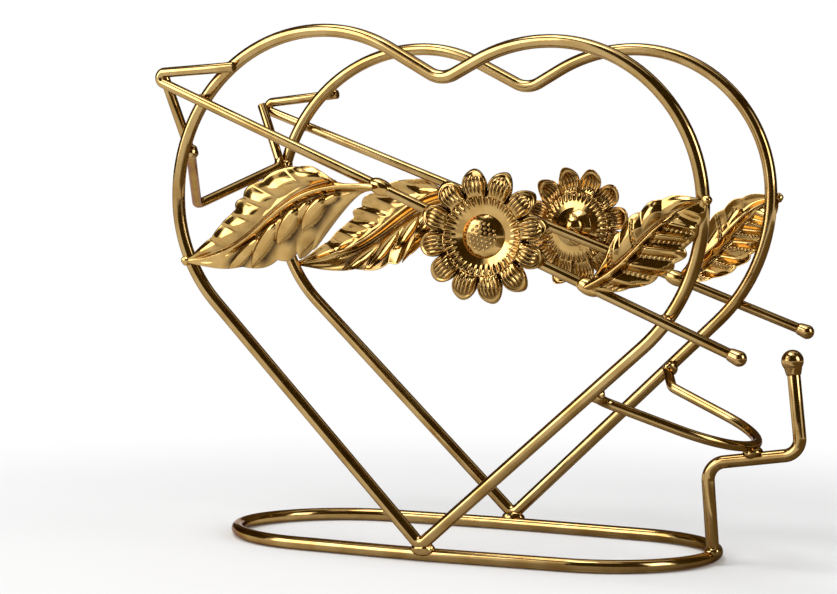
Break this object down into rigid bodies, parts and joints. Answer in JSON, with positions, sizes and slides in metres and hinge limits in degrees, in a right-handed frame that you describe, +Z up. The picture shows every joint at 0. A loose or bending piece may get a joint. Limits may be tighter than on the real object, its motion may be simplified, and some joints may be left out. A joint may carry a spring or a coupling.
{
  "type": "wine bottle holder",
  "caption": "Gold wire rack that cradles a wine bottle on its side between two heart-shaped wires, each crossed by an arrow with a sunflower and leaves",
  "frame": {"origin": "On the table, under the middle of the overall length and width.", "axes": "+X runs along the bottle from its neck to its heel, -Y is the front, +Z is up."},
  "size_m": [0.2511, 0.1362, 0.1938],
  "materials": {
    "gold_wire": "polished gold plating on bent steel wire",
    "gold_stamping": "polished gold plating on stamped sheet, with dark recesses",
    "gold_knob": "polished gold plating on solid balls"
  },
  "bodies": {
    "root": {"base_loop": "gold_wire", "upright": "gold_wire", "upright_knob": "gold_knob", "cradle_hoop": "gold_wire", "neck_rest": "gold_wire", "front_heart": "gold_wire", "front_arrow": "gold_wire", "front_arrow_knob": "gold_knob", "front_flower_petals": "gold_stamping", "front_flower_centre": "gold_stamping", "front_long_leaf": "gold_stamping", "front_short_leaf": "gold_stamping", "back_heart": "gold_wire", "back_arrow": "gold_wire", "back_arrow_knob": "gold_knob", "back_flower_petals": "gold_stamping", "back_flower_centre": "gold_stamping", "back_long_leaf": "gold_stamping", "back_short_leaf": "gold_stamping"}
  },
  "joints": []
}
